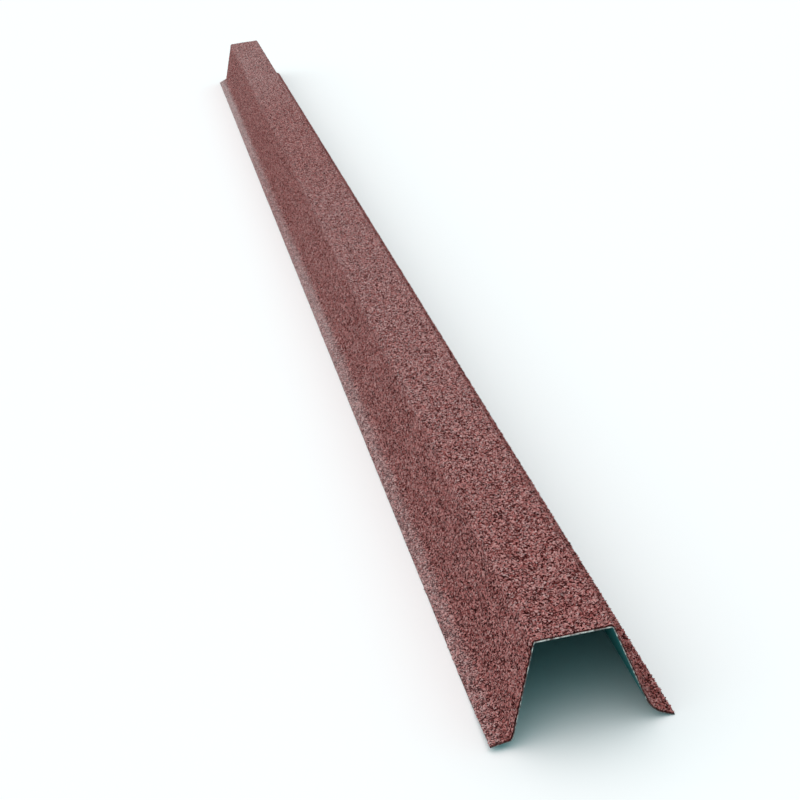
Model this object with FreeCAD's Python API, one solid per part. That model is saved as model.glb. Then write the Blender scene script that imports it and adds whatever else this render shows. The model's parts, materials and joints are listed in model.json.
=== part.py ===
# Roof ridge cap: one strip of steel sheet with a stone granule coat bonded to its weather side,
# folded to a flat-topped ridge with splayed sides and a small flange along each foot.
# Millimetres, +Z up. The ridge runs along Y, the section lies in XZ, and the origin is on the
# ground under the middle of the cap.
import FreeCAD, Part
import math
import os

# The strip, as it is cut from the roll
cap_length = 2000.0
steel_thickness = 0.45
coat_thickness = 1.05

# The folded section, measured on the weather side between the sharp corners of its legs
cap_height = 60.0
top_width = 43.0
foot_width = 76.0
flange_reach = 11.5
flange_drop = 4.8

# Inside radius of each fold: the left foot is creased sharply and the right one is rolled over softly
top_fold_radius = 1.0
left_foot_radius = 2.0
right_foot_radius = 16.0

# Worked out from the sizes above
sheet_thickness = steel_thickness + coat_thickness
flange_slope = math.atan2(flange_drop, flange_reach)
tip_height = sheet_thickness * math.cos(flange_slope)
foot_height = tip_height + flange_drop


def section_corners():
    """Sharp corners of the weather side, from the left flange tip over the top to the right one."""
    right = [
        FreeCAD.Vector(top_width / 2, 0, cap_height),
        FreeCAD.Vector(foot_width / 2, 0, foot_height),
        FreeCAD.Vector(foot_width / 2 + flange_reach, 0, tip_height),
    ]
    left = [FreeCAD.Vector(-corner.x, 0, corner.z) for corner in reversed(right)]
    return left + right


def leg_directions(corners):
    """Unit vector along each straight leg between two corners."""
    return [(end - start).normalize() for start, end in zip(corners, corners[1:])]


def underside(direction):
    """Unit vector from a leg towards the side that faces the roof."""
    return FreeCAD.Vector(direction.z, 0, -direction.x)


def shifted_corners(corners, depth):
    """The corners of a line that runs under the weather side at an even depth."""
    normals = [underside(direction) for direction in leg_directions(corners)]
    shifted = [corners[0] + normals[0] * depth]
    for corner, before, after in zip(corners[1:], normals, normals[1:]):
        shifted.append(corner + (before + after) * (depth / (1 + before.dot(after))))
    shifted.append(corners[-1] + normals[-1] * depth)
    return shifted


def folded_line(corners, radii):
    """Straight legs joined by tangent arcs, one radius for each corner between the two ends."""
    directions = leg_directions(corners)
    edges = []
    start = corners[0]
    for corner, radius, before, after in zip(corners[1:], radii, directions, directions[1:]):
        turn = before.getAngle(after)
        run_in = radius * math.tan(turn / 2)
        arc_start = corner - before * run_in
        arc_end = corner + after * run_in
        bisector = (after - before).normalize()
        arc_middle = corner + bisector * (radius / math.cos(turn / 2) - radius)
        edges.append(Part.LineSegment(start, arc_start).toShape())
        edges.append(Part.Arc(arc_start, arc_middle, arc_end).toShape())
        start = arc_end
    edges.append(Part.LineSegment(start, corners[-1]).toShape())
    return edges


def cap_section():
    """Closed outline of the sheet, of even thickness round every fold."""
    top_outside = top_fold_radius + sheet_thickness
    left_outside = left_foot_radius + sheet_thickness
    right_outside = right_foot_radius + sheet_thickness
    weather_radii = [left_foot_radius, top_outside, top_outside, right_foot_radius]
    roof_radii = [left_outside, top_fold_radius, top_fold_radius, right_outside]
    weather_corners = section_corners()
    roof_corners = shifted_corners(weather_corners, sheet_thickness)
    edges = folded_line(weather_corners, weather_radii)
    edges += folded_line(roof_corners, roof_radii)
    for end in (0, -1):
        edges.append(Part.LineSegment(weather_corners[end], roof_corners[end]).toShape())
    return Part.Wire(Part.__sortEdges__(edges))


def ridge_cap():
    """The section run along the whole length, with both ends cut square."""
    cap = Part.Face(cap_section()).extrude(FreeCAD.Vector(0, cap_length, 0))
    cap.translate(FreeCAD.Vector(0, -cap_length / 2, 0))
    return cap


os.makedirs("parts", exist_ok=True)
ridge_cap().exportStep("parts/ridge_cap.step")
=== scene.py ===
import bmesh
import bpy
import json
import math
import random
from mathutils import Matrix, Vector

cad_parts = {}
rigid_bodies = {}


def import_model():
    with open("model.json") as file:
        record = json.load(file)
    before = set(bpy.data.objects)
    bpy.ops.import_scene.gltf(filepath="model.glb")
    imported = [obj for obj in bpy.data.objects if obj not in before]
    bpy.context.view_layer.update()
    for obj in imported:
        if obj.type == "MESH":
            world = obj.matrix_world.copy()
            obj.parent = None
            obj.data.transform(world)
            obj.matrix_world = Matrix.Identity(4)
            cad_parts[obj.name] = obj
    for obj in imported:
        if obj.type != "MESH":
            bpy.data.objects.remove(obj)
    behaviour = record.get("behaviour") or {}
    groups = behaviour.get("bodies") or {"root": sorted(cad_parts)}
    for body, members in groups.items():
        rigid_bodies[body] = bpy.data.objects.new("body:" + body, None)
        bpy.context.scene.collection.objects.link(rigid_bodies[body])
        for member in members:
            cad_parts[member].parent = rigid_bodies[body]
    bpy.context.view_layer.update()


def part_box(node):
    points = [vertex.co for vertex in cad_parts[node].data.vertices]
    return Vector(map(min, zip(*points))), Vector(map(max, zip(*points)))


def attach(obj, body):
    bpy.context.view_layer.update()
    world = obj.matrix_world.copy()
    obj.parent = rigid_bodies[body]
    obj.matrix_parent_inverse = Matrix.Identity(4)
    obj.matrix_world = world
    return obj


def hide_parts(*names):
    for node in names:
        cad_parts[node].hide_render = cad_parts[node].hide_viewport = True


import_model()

MM = 0.001

# The folded section, measured on the weather side between the sharp corners of its legs
cap_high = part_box("ridge_cap")[1]
cap_height = cap_high.z
half_length = cap_high.y
half_width = cap_high.x
half_top = 21.5 * MM
half_foot = 38.0 * MM
flange_drop = 4.8 * MM
steel_thickness = 0.45 * MM
coat_thickness = 1.05 * MM
sheet_thickness = steel_thickness + coat_thickness
top_fold_radius = 1.0 * MM
left_foot_radius = 2.0 * MM
right_foot_radius = 16.0 * MM

# The near end of the left flange is bent up a little
tip_lift = 3.1 * MM
tip_bend_length = 70.0 * MM

# The coat: depths are measured down from the weather side
base_coat_depth = 0.92 * MM
base_coat_waviness = 0.08 * MM
bare_strip = 0.7 * MM
trimmed_strip = 0.12 * MM
cut_raggedness = 0.3

# How finely the sheet and the base coat are divided
row_spacing = 8.0 * MM
cut_row = 2 * bare_strip
column_spacing = 3.0 * MM
coat_fold_parts = 5
sheet_fold_parts = 8

# The grains: the density is the most to a square metre, and the tilt is in radians
grain_spacing = 1.00 * MM
grain_density = 4.5e6
grain_shapes = 24
grain_corners = 4
grain_width = 1.62 * MM
grain_depth = 1.10 * MM
width_spread = 0.45
depth_spread = 0.50
grain_tilt = 0.45
grain_lift = 0.42 * MM
proud_most = 0.35 * MM
strip_margin = 0.4 * MM
grain_pieces = 5
seed = 11

# The grains beside a cut and along the flange tips are darker over a rim this wide: partly dark binder at
# the cut, partly painted shade
near_dark_rim = 0.5 * MM
far_dark_rim = 2.0 * MM
dark_at_cut = 0.15

# The finishes: how fine each pattern is, in repeats to a metre, then the colour of the dust and painted
# sheen, and how much greyer the stone is where light is painted on it, and redder where shade is painted
chip_pattern = 820.0
crystal_pattern = 2600.0
cluster_pattern = 300.0
dust_patches = 45.0
dust_specks = 700.0
fines_pattern = 900.0
paint_clouds = 30.0
paint_peel = 900.0
shear_smears = 260.0
dust_and_sheen_colour = (0.74, 0.61, 0.60)
greyer_where_painted_paler = 4.5

# The camera
camera_lens = 73.26
camera_place = (-0.1564, -1.6944, 0.4814)
camera_heading = math.radians(7.022)
camera_tilt = math.radians(21.887)
camera_roll = math.radians(-7.722)

# The studio: what the floor shows, what it throws back, and the sky low down and overhead
floor_reach = 15.0
floor_seen = (1.0, 0.955, 0.95)
floor_lit = (0.62, 0.80, 0.82)
brightest_sky = (-0.22, 0.12, 0.97)
low_sky_strength = 0.09
high_sky_strength = 1.30
low_sky_tint = (0.40, 1.85, 2.00)
high_sky_tint = (1.05, 1.0, 1.0)


def section_runs(foot_fold_radius):
    """Half of the weather side from the ridge line to the flange tip: each run's length and turn."""
    flange_reach = half_width - half_foot
    flange_slope = math.atan2(flange_drop, flange_reach)
    flange = math.hypot(flange_reach, flange_drop)
    foot_height = sheet_thickness * math.cos(flange_slope) + flange_drop
    side_slope = math.atan2(cap_height - foot_height, half_foot - half_top)
    side = math.hypot(cap_height - foot_height, half_foot - half_top)
    top_radius = top_fold_radius + sheet_thickness
    top_run_in = top_radius * math.tan(side_slope / 2)
    foot_turn = side_slope - flange_slope
    foot_run_in = foot_fold_radius * math.tan(foot_turn / 2)
    return [
        (half_top - top_run_in, 0.0),
        (top_radius * side_slope, -side_slope),
        (side - top_run_in - foot_run_in, 0.0),
        (foot_fold_radius * foot_turn, foot_turn),
        (flange - foot_run_in, 0.0),
    ]


left_runs = section_runs(left_foot_radius)
right_runs = section_runs(right_foot_radius)
left_strip = sum(length for length, turn in left_runs)
right_strip = sum(length for length, turn in right_runs)


def fold(across, depth):
    """Where a point of the flat strip comes to once it is folded: x and z."""
    runs, strip, way = (left_runs, left_strip, -1) if across < 0 else (right_runs, right_strip, 1)
    to_go = min(abs(across), strip)
    beyond = abs(across) - to_go
    x, z, heading = 0.0, cap_height, 0.0
    for length, turn in runs:
        step = min(to_go, length)
        if turn:
            bend = turn * step / length
            radius = length / turn
            x += radius * (math.sin(heading + bend) - math.sin(heading))
            z -= radius * (math.cos(heading + bend) - math.cos(heading))
            heading += bend
        else:
            x += step * math.cos(heading)
            z += step * math.sin(heading)
        to_go -= step
        if to_go <= 0:
            break
    x += beyond * math.cos(heading) + depth * math.sin(heading)
    z += beyond * math.sin(heading) - depth * math.cos(heading)
    return way * x, z


def fold_lines(fold_parts, spacing=None):
    """Places across the flat strip: the ends of every run, and with a spacing some between them."""
    sides = []
    for runs in (left_runs, right_runs):
        places = [0.0]
        for length, turn in runs:
            flat_parts = max(1, round(length / spacing)) if spacing else 1
            parts = fold_parts if turn else flat_parts
            start = places[-1]
            for part in range(parts):
                places.append(start + length * (part + 1) / parts)
        sides.append(places)
    return [-place for place in reversed(sides[0])] + sides[1][1:]


def placed(across, along, depth):
    """A point of the flat strip, folded, with the near left flange tip bent up."""
    x, z = fold(across, depth)
    outward = max(0.0, (-x - half_foot) / (half_width - half_foot))
    near = max(0.0, 1.0 - (along + half_length) / tip_bend_length)
    z += tip_lift * outward * near * near * (3.0 - 2.0 * near)
    return Vector((x, along, z))


def fold_up(bm):
    """Folds a flat strip laid in XY, with its depth below the weather side along -Z."""
    for vert in bm.verts:
        vert.co = placed(vert.co.x, vert.co.y, -vert.co.z)


def bare_beside_cut(across, along):
    """How far the coat stops short of an end cut: most on the near end's top, hardly at all elsewhere."""
    return bare_strip if abs(across) < half_top and along < 0 else trimmed_strip


def object_from(name, bm, materials=()):
    mesh = bpy.data.meshes.new(name)
    bm.to_mesh(mesh)
    bm.free()
    for material in materials:
        mesh.materials.append(material)
    return linked_object(mesh)


def linked_object(mesh):
    made = bpy.data.objects.new(mesh.name, mesh)
    bpy.context.scene.collection.objects.link(made)
    return made


def belongs_to_cap(piece):
    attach(piece, "root")
    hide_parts("ridge_cap")
    return piece


# Shader helpers

def new_material(name):
    material = bpy.data.materials.new(name)
    material.use_nodes = True
    shader = material.node_tree.nodes["Principled BSDF"]
    return material, material.node_tree, shader


def new_group(name, inputs, outputs):
    tree = bpy.data.node_groups.new(name, "ShaderNodeTree")
    for label, kind in inputs:
        tree.interface.new_socket(label, in_out="INPUT", socket_type="NodeSocket" + kind)
    for label, kind in outputs:
        tree.interface.new_socket(label, in_out="OUTPUT", socket_type="NodeSocket" + kind)
    return tree, tree.nodes.new("NodeGroupInput"), tree.nodes.new("NodeGroupOutput")


def place_group(tree, group, place):
    made = node(tree, "ShaderNodeGroup")
    made.node_tree = group
    tree.links.new(place, made.inputs["Vector"])
    return made


def node(tree, kind, **settings):
    made = tree.nodes.new(kind)
    for name, value in settings.items():
        setattr(made, name, value)
    return made


def set_inputs(made, **values):
    for name, value in values.items():
        made.inputs[name.replace("_", " ")].default_value = value
    return made


def object_place(tree):
    return node(tree, "ShaderNodeTexCoord").outputs["Object"]


def split(tree, kind, value):
    """The separate parts of a place, kind XYZ, or of a colour, kind Color."""
    made = node(tree, "ShaderNodeSeparate" + kind)
    tree.links.new(value, made.inputs[0])
    return made.outputs


def worked_out(tree, operation, *values):
    """What a Math node makes of its values, each a link or a plain number."""
    made = node(tree, "ShaderNodeMath", operation=operation)
    for value, socket in zip(values, made.inputs):
        if isinstance(value, float):
            socket.default_value = value
        else:
            tree.links.new(value, socket)
    return made.outputs[0]


def sum_of(tree, first, second, factor=1.0):
    """first + second x factor"""
    return worked_out(tree, "MULTIPLY_ADD", second, factor, first)


def mapped(tree, value, low, high, to_low=0.0, to_high=1.0, smooth=False):
    kind = "SMOOTHSTEP" if smooth else "LINEAR"
    made = node(tree, "ShaderNodeMapRange", interpolation_type=kind)
    set_inputs(made, From_Min=low, From_Max=high, To_Min=to_low, To_Max=to_high)
    tree.links.new(value, made.inputs["Value"])
    return made.outputs["Result"]


def noise(tree, place, scale, detail, roughness=0.5):
    made = set_inputs(node(tree, "ShaderNodeTexNoise"), Scale=scale, Detail=detail, Roughness=roughness)
    tree.links.new(place, made.inputs["Vector"])
    return made.outputs["Fac"]


def colour_ramp(tree, value, stops):
    """The colour for a value, from a ramp with a colour at each of a few places."""
    made = node(tree, "ShaderNodeValToRGB")
    colours = [(place, (*colour, 1.0)) for place, colour in stops]
    points = made.color_ramp.elements
    points[0].position, points[0].color = colours[0]
    points[1].position, points[1].color = colours[-1]
    for place, colour in colours[1:-1]:
        points.new(place).color = colour
    tree.links.new(value, made.inputs["Fac"])
    return made.outputs["Color"]


def level_ramp(tree, value, stops):
    """A level that follows a value, from a ramp with a level at each of a few places."""
    return colour_ramp(tree, value, [(place, (level,) * 3) for place, level in stops])


def mixed(tree, factor, first, second):
    made = node(tree, "ShaderNodeMix", data_type="RGBA")
    for value, socket in ((factor, "Factor"), (first, "A"), (second, "B")):
        if isinstance(value, tuple):
            made.inputs[socket].default_value = (*value, 1.0)
        else:
            tree.links.new(value, made.inputs[socket])
    return made.outputs["Result"]


def give_relief(tree, shader, height, strength, depth):
    """Bends a shader's normal as if its surface had the given fine height."""
    bump = set_inputs(node(tree, "ShaderNodeBump"), Strength=strength, Distance=depth)
    tree.links.new(height, bump.inputs["Height"])
    tree.links.new(bump.outputs["Normal"], shader.inputs["Normal"])


# Effects that more than one material uses

def crushed_stone_group():
    """Colour and fine relief of crushed stone, for a tone from 0, a dark hollow, partly dark binder and
    partly painted shade, to 1, a pale chip. Each cell darkens toward its rim: painted shade.
    """
    tree, inside, outside = new_group(
        "crushed stone", [("Vector", "Vector"), ("Tone", "Float"), ("Greyness", "Float")],
        [("Color", "Color"), ("Relief", "Float")])
    place = inside.outputs["Vector"]
    cells = set_inputs(node(tree, "ShaderNodeTexVoronoi"), Scale=chip_pattern)
    tree.links.new(place, cells.inputs["Vector"])
    lot = split(tree, "Color", cells.outputs["Color"])
    crystals = noise(tree, place, crystal_pattern, 3.0, 0.6)
    clusters = noise(tree, place, cluster_pattern, 2.0)
    # Painted shade: each chip-sized cell darker toward its rim, as if domed; the same dip also feeds the
    # relief
    rim_dip_painted_dark = mapped(tree, cells.outputs["Distance"], 0.35, 0.75, 0.0, -0.12, smooth=True)
    chip_tone = mapped(tree, lot["Red"], 0.0, 1.0, -0.03, 0.03)
    crystal_tone = mapped(tree, crystals, 0.0, 1.0, -0.08, 0.08)
    cluster_tone = mapped(tree, clusters, 0.0, 1.0, -0.02, 0.02)
    tone = inside.outputs["Tone"]
    for share in (rim_dip_painted_dark, chip_tone, crystal_tone, cluster_tone):
        tone = sum_of(tree, tone, share)
    red = colour_ramp(tree, tone, [
        (0.00, (0.032, 0.003, 0.003)),
        (0.20, (0.095, 0.012, 0.011)),
        (0.40, (0.245, 0.048, 0.043)),
        (0.60, (0.430, 0.130, 0.120)),
        (0.80, (0.540, 0.215, 0.200)),
        (1.00, (0.640, 0.330, 0.310)),
    ])
    grey = colour_ramp(tree, tone, [
        (0.00, (0.028, 0.006, 0.006)),
        (0.20, (0.080, 0.024, 0.024)),
        (0.40, (0.205, 0.086, 0.085)),
        (0.60, (0.360, 0.188, 0.184)),
        (0.80, (0.480, 0.296, 0.290)),
        (1.00, (0.610, 0.430, 0.420)),
    ])
    chip_greyness = mapped(tree, lot["Green"], 0.0, 1.0, -0.25, 0.25)
    greyness = sum_of(tree, inside.outputs["Greyness"], chip_greyness)
    grey_share = mapped(tree, greyness, 0.50, 1.00, 0.0, 0.65, smooth=True)
    tree.links.new(mixed(tree, grey_share, red, grey), outside.inputs["Color"])
    tree.links.new(sum_of(tree, crystals, rim_dip_painted_dark, 3.0), outside.inputs["Relief"])
    return tree


def dust_and_painted_light_group():
    """How much pale colour lies on the left flange, partly dust and partly painted sheen, and the painted
    light and shade on the stone:
    paler on the left flange as painted light, paler in long stretches of the top as painted sheen, darker
    on the sides and right flange as painted shade."""
    tree, inside, outside = new_group(
        "settled dust", [("Vector", "Vector")], [("Amount", "Float"), ("Shade", "Float")])
    place = inside.outputs["Vector"]
    where = split(tree, "XYZ", place)
    along = mapped(tree, where["Y"], -half_length, half_length)
    across = mapped(tree, where["X"], -half_width, half_width)

    patches = noise(tree, place, dust_patches, 2.0)
    edge = sum_of(tree, where["X"], patches, 3.0 * MM)
    flange = mapped(tree, edge, -35.5 * MM, -42.5 * MM, smooth=True)
    # Pale colour on the left flange, growing toward the far end: partly dust, partly painted sheen
    flange_dust_and_sheen = level_ramp(tree, along, [
        (0.00, 0.02), (0.08, 0.14), (0.20, 0.16), (0.36, 0.30), (0.60, 0.18), (0.85, 0.45)])
    specks = mapped(tree, noise(tree, place, dust_specks, 2.0), 0.35, 0.65, 0.4, 1.6)
    lying = worked_out(tree, "MULTIPLY", flange, flange_dust_and_sheen)
    amount = worked_out(tree, "MULTIPLY", lying, specks)

    # Painted sheen: the top paler in long stretches, most toward the far end, and weaker down the sides
    off_ridge = worked_out(tree, "ABSOLUTE", where["X"])
    upper = mapped(tree, off_ridge, 19.0 * MM, 24.0 * MM, 1.0, 0.4, smooth=True)
    painted_sheen_on_top = level_ramp(tree, along, [
        (0.05, 0.000), (0.18, 0.042), (0.45, 0.058), (0.55, 0.015), (0.70, 0.025), (0.82, 0.090)])
    # Across the section: painted light on the left flange, painted shade on the steep sides and most on
    # the right flange
    painted_level_across = level_ramp(tree, across, [
        (0.055, 0.85), (0.130, 0.20), (0.265, 0.18), (0.283, 0.50),
        (0.717, 0.50), (0.735, 0.20), (0.870, 0.20), (0.930, 0.05)])
    painted_light_across = mapped(tree, painted_level_across, 0.0, 1.0, -0.10, 0.10)
    painted_light_and_shade = worked_out(tree, "MULTIPLY_ADD", upper, painted_sheen_on_top, painted_light_across)

    tree.links.new(amount, outside.inputs["Amount"])
    tree.links.new(painted_light_and_shade, outside.inputs["Shade"])
    return tree


def stone_surface(tree, shader, place, tone, greyness, stone, dust_and_light_group, relief_strength, relief_depth):
    """Gives a shader the crushed stone's colour, the dust, painted sheen, painted light and shade on it,
    and its fine relief.
    """
    dust_and_light_node = place_group(tree, dust_and_light_group, place)
    stones = place_group(tree, stone, place)
    # Painted light makes the stone paler and greyer, painted shade makes it darker and redder
    painted_light_and_shade = dust_and_light_node.outputs["Shade"]
    tree.links.new(sum_of(tree, tone, painted_light_and_shade), stones.inputs["Tone"])
    tree.links.new(sum_of(tree, greyness, painted_light_and_shade, greyer_where_painted_paler), stones.inputs["Greyness"])
    colour = mixed(tree, dust_and_light_node.outputs["Amount"], stones.outputs["Color"], dust_and_sheen_colour)
    tree.links.new(colour, shader.inputs["Base Color"])
    give_relief(tree, shader, stones.outputs["Relief"], relief_strength, relief_depth)


# The cap's materials

def grain_material(stone, dust_and_light_group):
    """Each grain has a tone and a greyness of its own, and about one in ten is darker still. Corners
    lower in the coat get a darker tone, a painted shade in the hollows.
    """
    material, tree, shader = new_material("crushed stone grains")
    grain = node(tree, "ShaderNodeAttribute", attribute_name="grain").outputs["Fac"]
    height = node(tree, "ShaderNodeAttribute", attribute_name="coat_height").outputs["Fac"]
    lots = node(tree, "ShaderNodeTexWhiteNoise", noise_dimensions="1D")
    tree.links.new(grain, lots.inputs["W"])
    greyness = split(tree, "Color", lots.outputs["Color"])["Red"]
    # Painted shade in the hollows: the lower a corner sits in the coat, the darker its tone
    tone = mapped(tree, height, 0.05, 0.55, 0.37, 0.75)
    grain_tone = mapped(tree, grain, 0.0, 1.0, -0.28, 0.25)
    dark_tone = mapped(tree, grain, 0.10, 0.13, -0.22, 0.0)
    for share in (grain_tone, dark_tone):
        tone = sum_of(tree, tone, share)
    stone_surface(tree, shader, object_place(tree), tone, greyness, stone, dust_and_light_group, 0.5, 0.15 * MM)
    set_inputs(shader, Roughness=0.80, Specular_IOR_Level=0.15)
    return material


def base_coat_material(stone, dust_and_light_group):
    material, tree, shader = new_material("base coat with stone fines")
    place = object_place(tree)
    fines = noise(tree, place, fines_pattern, 2.0)
    tone = mapped(tree, fines, 0.35, 0.75, 0.08, 0.40)
    stone_surface(tree, shader, place, tone, fines, stone, dust_and_light_group, 0.8, 0.3 * MM)
    set_inputs(shader, Roughness=0.9, Specular_IOR_Level=0.05)
    return material


def paint_material():
    """Teal paint, a little cloudy, with a faint peel in its surface."""
    material, tree, shader = new_material("teal underside paint")
    place = object_place(tree)
    clouds = noise(tree, place, paint_clouds, 4.0)
    colour = colour_ramp(tree, clouds, [(0.3, (0.020, 0.158, 0.155)), (0.7, (0.026, 0.182, 0.178))])
    tree.links.new(colour, shader.inputs["Base Color"])
    give_relief(tree, shader, noise(tree, place, paint_peel, 2.0), 0.15, 0.05 * MM)
    set_inputs(shader, Roughness=0.6, Specular_IOR_Level=0.3)
    return material


def cut_steel_material():
    """Sheared steel, patchy with smears of the dark coat, and darker off the top: least on the top and
    most at the feet.
    """
    material, tree, shader = new_material("sheared steel edge")
    place = object_place(tree)
    bright = noise(tree, place, shear_smears, 3.0, 0.65)
    off_ridge = worked_out(tree, "ABSOLUTE", split(tree, "XYZ", place)["X"])
    # Darker below the top edge, and darker again at the feet
    for start, end in ((20.5, 22.5), (33.0, 39.0)):
        darker_off_top = mapped(tree, off_ridge, start * MM, end * MM, 0.0, -0.07)
        bright = sum_of(tree, bright, darker_off_top)
    colour = colour_ramp(tree, bright, [
        (0.40, (0.10, 0.06, 0.055)),
        (0.48, (0.36, 0.32, 0.30)),
        (0.60, (0.74, 0.71, 0.66)),
    ])
    tree.links.new(colour, shader.inputs["Base Color"])
    set_inputs(shader, Metallic=0.35, Roughness=0.45)
    return material


# The pieces

def steel_sheet(paint, cut_steel):
    """The folded sheet: painted below, and bare steel at its edges and under the coat."""
    bm = bmesh.new()
    places = fold_lines(sheet_fold_parts)
    line = [bm.verts.new((across, -half_length, -coat_thickness)) for across in places]
    edges = [bm.edges.new(pair) for pair in zip(line, line[1:])]
    bend_rows = math.ceil(tip_bend_length / row_spacing)
    bent = [row_spacing - cut_row] + [row_spacing] * (bend_rows - 1)
    straight = 2 * half_length - bend_rows * row_spacing - cut_row
    for reach in (cut_row, *bent, straight, cut_row):
        swept = bmesh.ops.extrude_edge_only(bm, edges=edges)
        verts = [item for item in swept["geom"] if isinstance(item, bmesh.types.BMVert)]
        edges = [item for item in swept["geom"] if isinstance(item, bmesh.types.BMEdge)
                 and all(vert in verts for vert in item.verts)]
        bmesh.ops.translate(bm, verts=verts, vec=(0, reach, 0))
    shell = bmesh.ops.extrude_face_region(bm, geom=bm.faces[:])
    under = [item for item in shell["geom"] if isinstance(item, bmesh.types.BMVert)]
    bmesh.ops.translate(bm, verts=under, vec=(0, 0, -steel_thickness))
    below = -coat_thickness - steel_thickness / 2
    for face in bm.faces:
        painted = all(vert.co.z < below for vert in face.verts)
        face.material_index = 0 if painted else 1
    fold_up(bm)
    bmesh.ops.recalc_face_normals(bm, faces=bm.faces)
    return belongs_to_cap(object_from("steel_sheet", bm, [paint, cut_steel]))


def base_coat(material, chance):
    """The layer the grains sit in: closed all round, a little wavy on top, ragged at the cuts."""
    places = fold_lines(coat_fold_parts, column_spacing)
    columns = len(places) - 1
    rows = round(2 * half_length / row_spacing)
    bm = bmesh.new()
    bmesh.ops.create_grid(bm, x_segments=columns, y_segments=rows, size=0.5)
    span = max(vert.co.x for vert in bm.verts)
    for vert in bm.verts:
        column = round((vert.co.x / span + 1) / 2 * columns)
        row = round((vert.co.y / span + 1) / 2 * rows)
        y = -half_length + row * row_spacing
        if row in (0, rows):
            ragged = chance.uniform(1 - cut_raggedness, 1 + cut_raggedness)
            y -= math.copysign(bare_beside_cut(places[column], y) * ragged, y)
        depth = base_coat_depth + chance.uniform(-1, 1) * base_coat_waviness
        vert.co = Vector((places[column], y, -depth))
    shell = bmesh.ops.extrude_face_region(bm, geom=bm.faces[:])
    for item in shell["geom"]:
        if isinstance(item, bmesh.types.BMVert):
            item.co.z = -coat_thickness
    fold_up(bm)
    bmesh.ops.recalc_face_normals(bm, faces=bm.faces)
    return belongs_to_cap(object_from("base_coat", bm, [material]))


def stone_shapes(chance):
    """A hidden collection of angular chips, about one unit wide."""
    chips = bpy.data.collections.new("stone chips")
    for number in range(grain_shapes):
        bm = bmesh.new()
        for corner in range(grain_corners):
            angle = 2 * math.pi * (corner + chance.uniform(-0.3, 0.3)) / grain_corners
            reach = chance.uniform(0.45, 0.65)
            height = chance.uniform(0.15, 0.5) if corner % 2 else chance.uniform(-0.5, 0.0)
            bm.verts.new((reach * math.cos(angle), reach * math.sin(angle), height))
        bmesh.ops.convex_hull(bm, input=bm.verts)
        bmesh.ops.triangulate(bm, faces=bm.faces)
        bmesh.ops.recalc_face_normals(bm, faces=bm.faces)
        mesh = bpy.data.meshes.new("stone chip %d" % number)
        bm.to_mesh(mesh)
        bm.free()
        chips.objects.link(bpy.data.objects.new(mesh.name, mesh))
    return chips


def random_value(tree, kind, first_socket, low, high, step):
    """A value drawn afresh for each grain, between two limits. Each use has a step of its own."""
    made = node(tree, "FunctionNodeRandomValue", data_type=kind)
    made.inputs[first_socket].default_value = low
    made.inputs[first_socket + 1].default_value = high
    made.inputs["Seed"].default_value = seed + step
    return made.outputs[first_socket // 2]


def scatter_group(chips):
    """Geometry nodes that strew chips evenly over a flat strip and turn them to one mesh."""
    tree = bpy.data.node_groups.new("strewn grains", "GeometryNodeTree")
    for label, way, kind in (("Strip", "INPUT", "Geometry"), ("From", "INPUT", "Float"),
                             ("To", "INPUT", "Float"), ("Grains", "OUTPUT", "Geometry")):
        tree.interface.new_socket(label, in_out=way, socket_type="NodeSocket" + kind)
    link = tree.links.new
    inside = node(tree, "NodeGroupInput")
    outside = node(tree, "NodeGroupOutput")

    spots = node(tree, "GeometryNodeDistributePointsOnFaces", distribute_method="POISSON")
    set_inputs(spots, Distance_Min=grain_spacing, Density_Max=grain_density, Seed=seed)
    link(inside.outputs["Strip"], spots.inputs["Mesh"])

    along = split(tree, "XYZ", node(tree, "GeometryNodeInputPosition").outputs[0])["Y"]
    within = node(tree, "FunctionNodeBooleanMath", operation="AND")
    for number, (limit, operation) in enumerate((("From", "GREATER_EQUAL"), ("To", "LESS_THAN"))):
        test = node(tree, "FunctionNodeCompare", data_type="FLOAT", operation=operation)
        link(along, test.inputs[0])
        link(inside.outputs[limit], test.inputs[1])
        link(test.outputs[0], within.inputs[number])

    thinnest = (1 - width_spread, 1 - width_spread, 1 - depth_spread)
    thickest = (1 + width_spread, 1 + width_spread, 1 + depth_spread)
    usual = (grain_width, grain_width, grain_depth)
    smallest = [share * size for share, size in zip(thinnest, usual)]
    largest = [share * size for share, size in zip(thickest, usual)]
    one_way = (-grain_tilt, -grain_tilt, 0.0)
    other_way = (grain_tilt, grain_tilt, 2 * math.pi)
    turn = random_value(tree, "FLOAT_VECTOR", 0, one_way, other_way, 1)
    size = random_value(tree, "FLOAT_VECTOR", 0, smallest, largest, 2)
    pick = random_value(tree, "INT", 4, 0, grain_shapes - 1, 3)
    tone = random_value(tree, "FLOAT", 2, 0.0, 1.0, 4)

    kinds = node(tree, "GeometryNodeCollectionInfo")
    set_inputs(kinds, Collection=chips, Separate_Children=True, Reset_Children=True)
    strewn = set_inputs(node(tree, "GeometryNodeInstanceOnPoints"), Pick_Instance=True)
    link(spots.outputs["Points"], strewn.inputs["Points"])
    link(within.outputs[0], strewn.inputs["Selection"])
    link(kinds.outputs[0], strewn.inputs["Instance"])
    link(pick, strewn.inputs["Instance Index"])
    link(turn, strewn.inputs["Rotation"])
    link(size, strewn.inputs["Scale"])

    named = node(tree, "GeometryNodeStoreNamedAttribute", data_type="FLOAT", domain="INSTANCE")
    named.inputs["Name"].default_value = "grain"
    link(strewn.outputs[0], named.inputs["Geometry"])
    link(tone, named.inputs["Value"])
    made = node(tree, "GeometryNodeRealizeInstances")
    link(named.outputs[0], made.inputs[0])
    link(made.outputs[0], outside.inputs["Grains"])
    return tree


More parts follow.
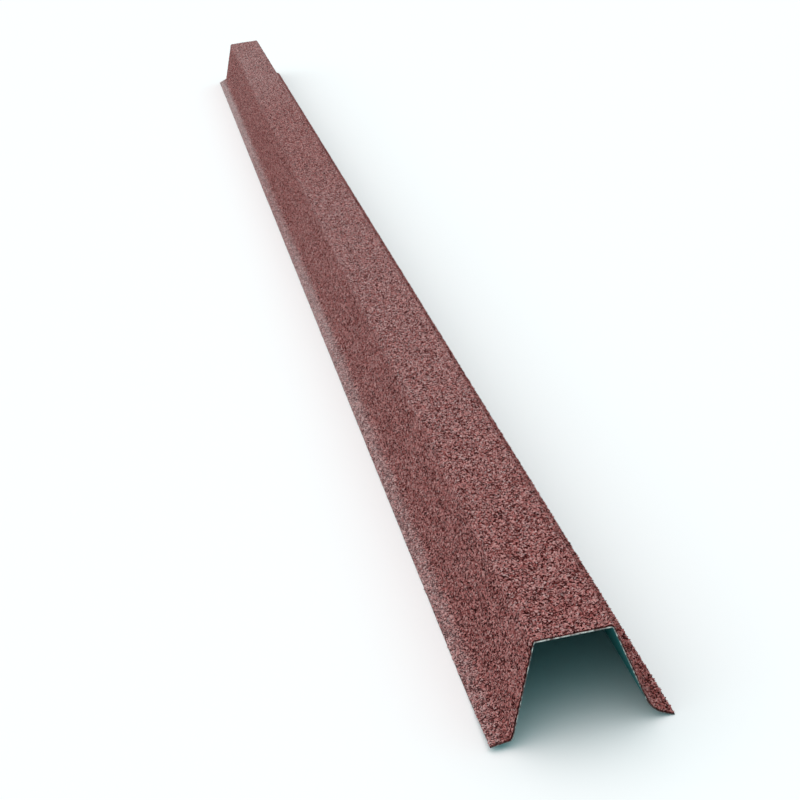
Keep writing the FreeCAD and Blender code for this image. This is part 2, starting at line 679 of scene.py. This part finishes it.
def flat_strip():
    """The unfolded weather side that the grains are strewn on, a little short of its edges."""
    bm = bmesh.new()
    bmesh.ops.create_grid(bm, x_segments=1, y_segments=1, size=0.5)
    across = left_strip + right_strip - 2 * strip_margin
    along = 2 * (half_length - strip_margin)
    bmesh.ops.scale(bm, verts=bm.verts, vec=(across, along, 1.0))
    bmesh.ops.translate(bm, verts=bm.verts, vec=((right_strip - left_strip) / 2, 0.0, 0.0))
    return object_from("flat strip", bm)


def bed_grains(mesh):
    """Folds strewn grains with the sheet, and marks how high in the coat each corner shows, marked lower
    beside the cuts and flange tips for the painted shade there.
    """
    height = mesh.attributes.new("coat_height", "FLOAT", "POINT")
    sink = base_coat_depth - grain_lift
    for vert, mark in zip(mesh.vertices, height.data):
        depth = min(max(-proud_most, sink - vert.co.z), coat_thickness)
        across = min(max(-left_strip - strip_margin, vert.co.x), right_strip + strip_margin)
        end = half_length - bare_beside_cut(across, vert.co.y)
        along = min(max(-end, vert.co.y), end)
        from_tip = min(across + left_strip, right_strip - across) + strip_margin
        # Beside the cuts and flange tips the mark drops, which darkens the grains: painted shade, partly
        # dark binder
        from_end = (end - abs(along)) / (near_dark_rim if along < 0 else far_dark_rim)
        shown = min(1.0, dark_at_cut + min(from_tip / near_dark_rim, from_end))
        mark.value = (1.0 - depth / coat_thickness) * shown
        vert.co = placed(across, along, depth)


def stone_grains(scatter, material):
    """The grains, in equal lengths of the cap, strewn on the flat strip and folded with it."""
    strip = flat_strip()
    strew = strip.modifiers.new("strewn grains", "NODES")
    strew.node_group = scatter
    sockets = {item.name: item.identifier for item in scatter.interface.items_tree}
    length = 2 * half_length / grain_pieces
    for number in range(grain_pieces):
        strew[sockets["From"]] = -half_length + number * length
        strew[sockets["To"]] = -half_length + (number + 1) * length
        strip.update_tag()
        graph = bpy.context.evaluated_depsgraph_get()
        graph.update()
        mesh = bpy.data.meshes.new_from_object(strip.evaluated_get(graph), depsgraph=graph)
        mesh.name = "stone_grains_%d" % (number + 1)
        bed_grains(mesh)
        mesh.materials.clear()
        mesh.materials.append(material)
        belongs_to_cap(linked_object(mesh))
    bpy.data.objects.remove(strip)


def clear_away(chips):
    for chip in list(chips.objects):
        bpy.data.objects.remove(chip)
    bpy.data.collections.remove(chips)


# The studio

def floor_material():
    """White to the camera and in gloss, cooler in the light it throws back, and unseen from below."""
    material, tree, shader = new_material("pale floor")
    ray = node(tree, "ShaderNodeLightPath").outputs
    seen = worked_out(tree, "MAXIMUM", ray["Is Camera Ray"], ray["Is Glossy Ray"])
    colour = mixed(tree, seen, floor_lit, floor_seen)
    tree.links.new(colour, shader.inputs["Base Color"])
    facing = node(tree, "ShaderNodeNewGeometry").outputs
    above = worked_out(tree, "SUBTRACT", 1.0, facing["Backfacing"])
    tree.links.new(above, shader.inputs["Alpha"])
    set_inputs(shader, Roughness=0.9, Specular_IOR_Level=0.0)
    return material


def floor():
    bm = bmesh.new()
    bmesh.ops.create_grid(bm, x_segments=1, y_segments=1, size=floor_reach)
    made = object_from("floor", bm, [floor_material()])


def soft_sky():
    """White all round for the camera, and for the light brighter overhead and cooler low down."""
    world = bpy.data.worlds.new("studio")
    bpy.context.scene.world = world
    world.use_nodes = True
    tree = world.node_tree
    background = tree.nodes["Background"]
    toward = node(tree, "ShaderNodeVectorMath", operation="DOT_PRODUCT")
    tree.links.new(node(tree, "ShaderNodeTexCoord").outputs["Generated"], toward.inputs[0])
    toward.inputs[1].default_value = Vector(brightest_sky).normalized()
    height = toward.outputs["Value"]
    ray = node(tree, "ShaderNodeLightPath").outputs
    seen = worked_out(tree, "MAXIMUM", ray["Is Camera Ray"], ray["Is Transmission Ray"])
    light = mapped(tree, height, -0.15, 0.95, low_sky_strength, high_sky_strength, smooth=True)
    strength = node(tree, "ShaderNodeMix", data_type="FLOAT")
    tree.links.new(seen, strength.inputs["Factor"])
    tree.links.new(light, strength.inputs["A"])
    strength.inputs["B"].default_value = 1.0
    overhead = mapped(tree, height, -0.15, 0.85, smooth=True)
    white = worked_out(tree, "MAXIMUM", overhead, seen)
    colour = mixed(tree, white, low_sky_tint, high_sky_tint)
    tree.links.new(colour, background.inputs["Color"])
    tree.links.new(strength.outputs["Result"], background.inputs["Strength"])


def camera():
    data = bpy.data.cameras.new("camera")
    data.sensor_width = 36.0
    data.lens = camera_lens
    data.clip_start = 0.01
    data.clip_end = 60.0
    made = bpy.data.objects.new("camera", data)
    bpy.context.scene.collection.objects.link(made)
    turn = Matrix.Rotation(-camera_heading, 4, "Z")
    turn = turn @ Matrix.Rotation(math.pi / 2 - camera_tilt, 4, "X")
    turn = turn @ Matrix.Rotation(camera_roll, 4, "Z")
    made.matrix_world = Matrix.Translation(camera_place) @ turn
    bpy.context.scene.camera = made


chance = random.Random(seed)
stone = crushed_stone_group()
dust_and_light_group = dust_and_painted_light_group()
steel_sheet(paint_material(), cut_steel_material())
base_coat(base_coat_material(stone, dust_and_light_group), chance)
chips = stone_shapes(chance)
stone_grains(scatter_group(chips), grain_material(stone, dust_and_light_group))
clear_away(chips)
floor()
soft_sky()
camera()

bpy.context.scene.view_settings.view_transform = "Standard"
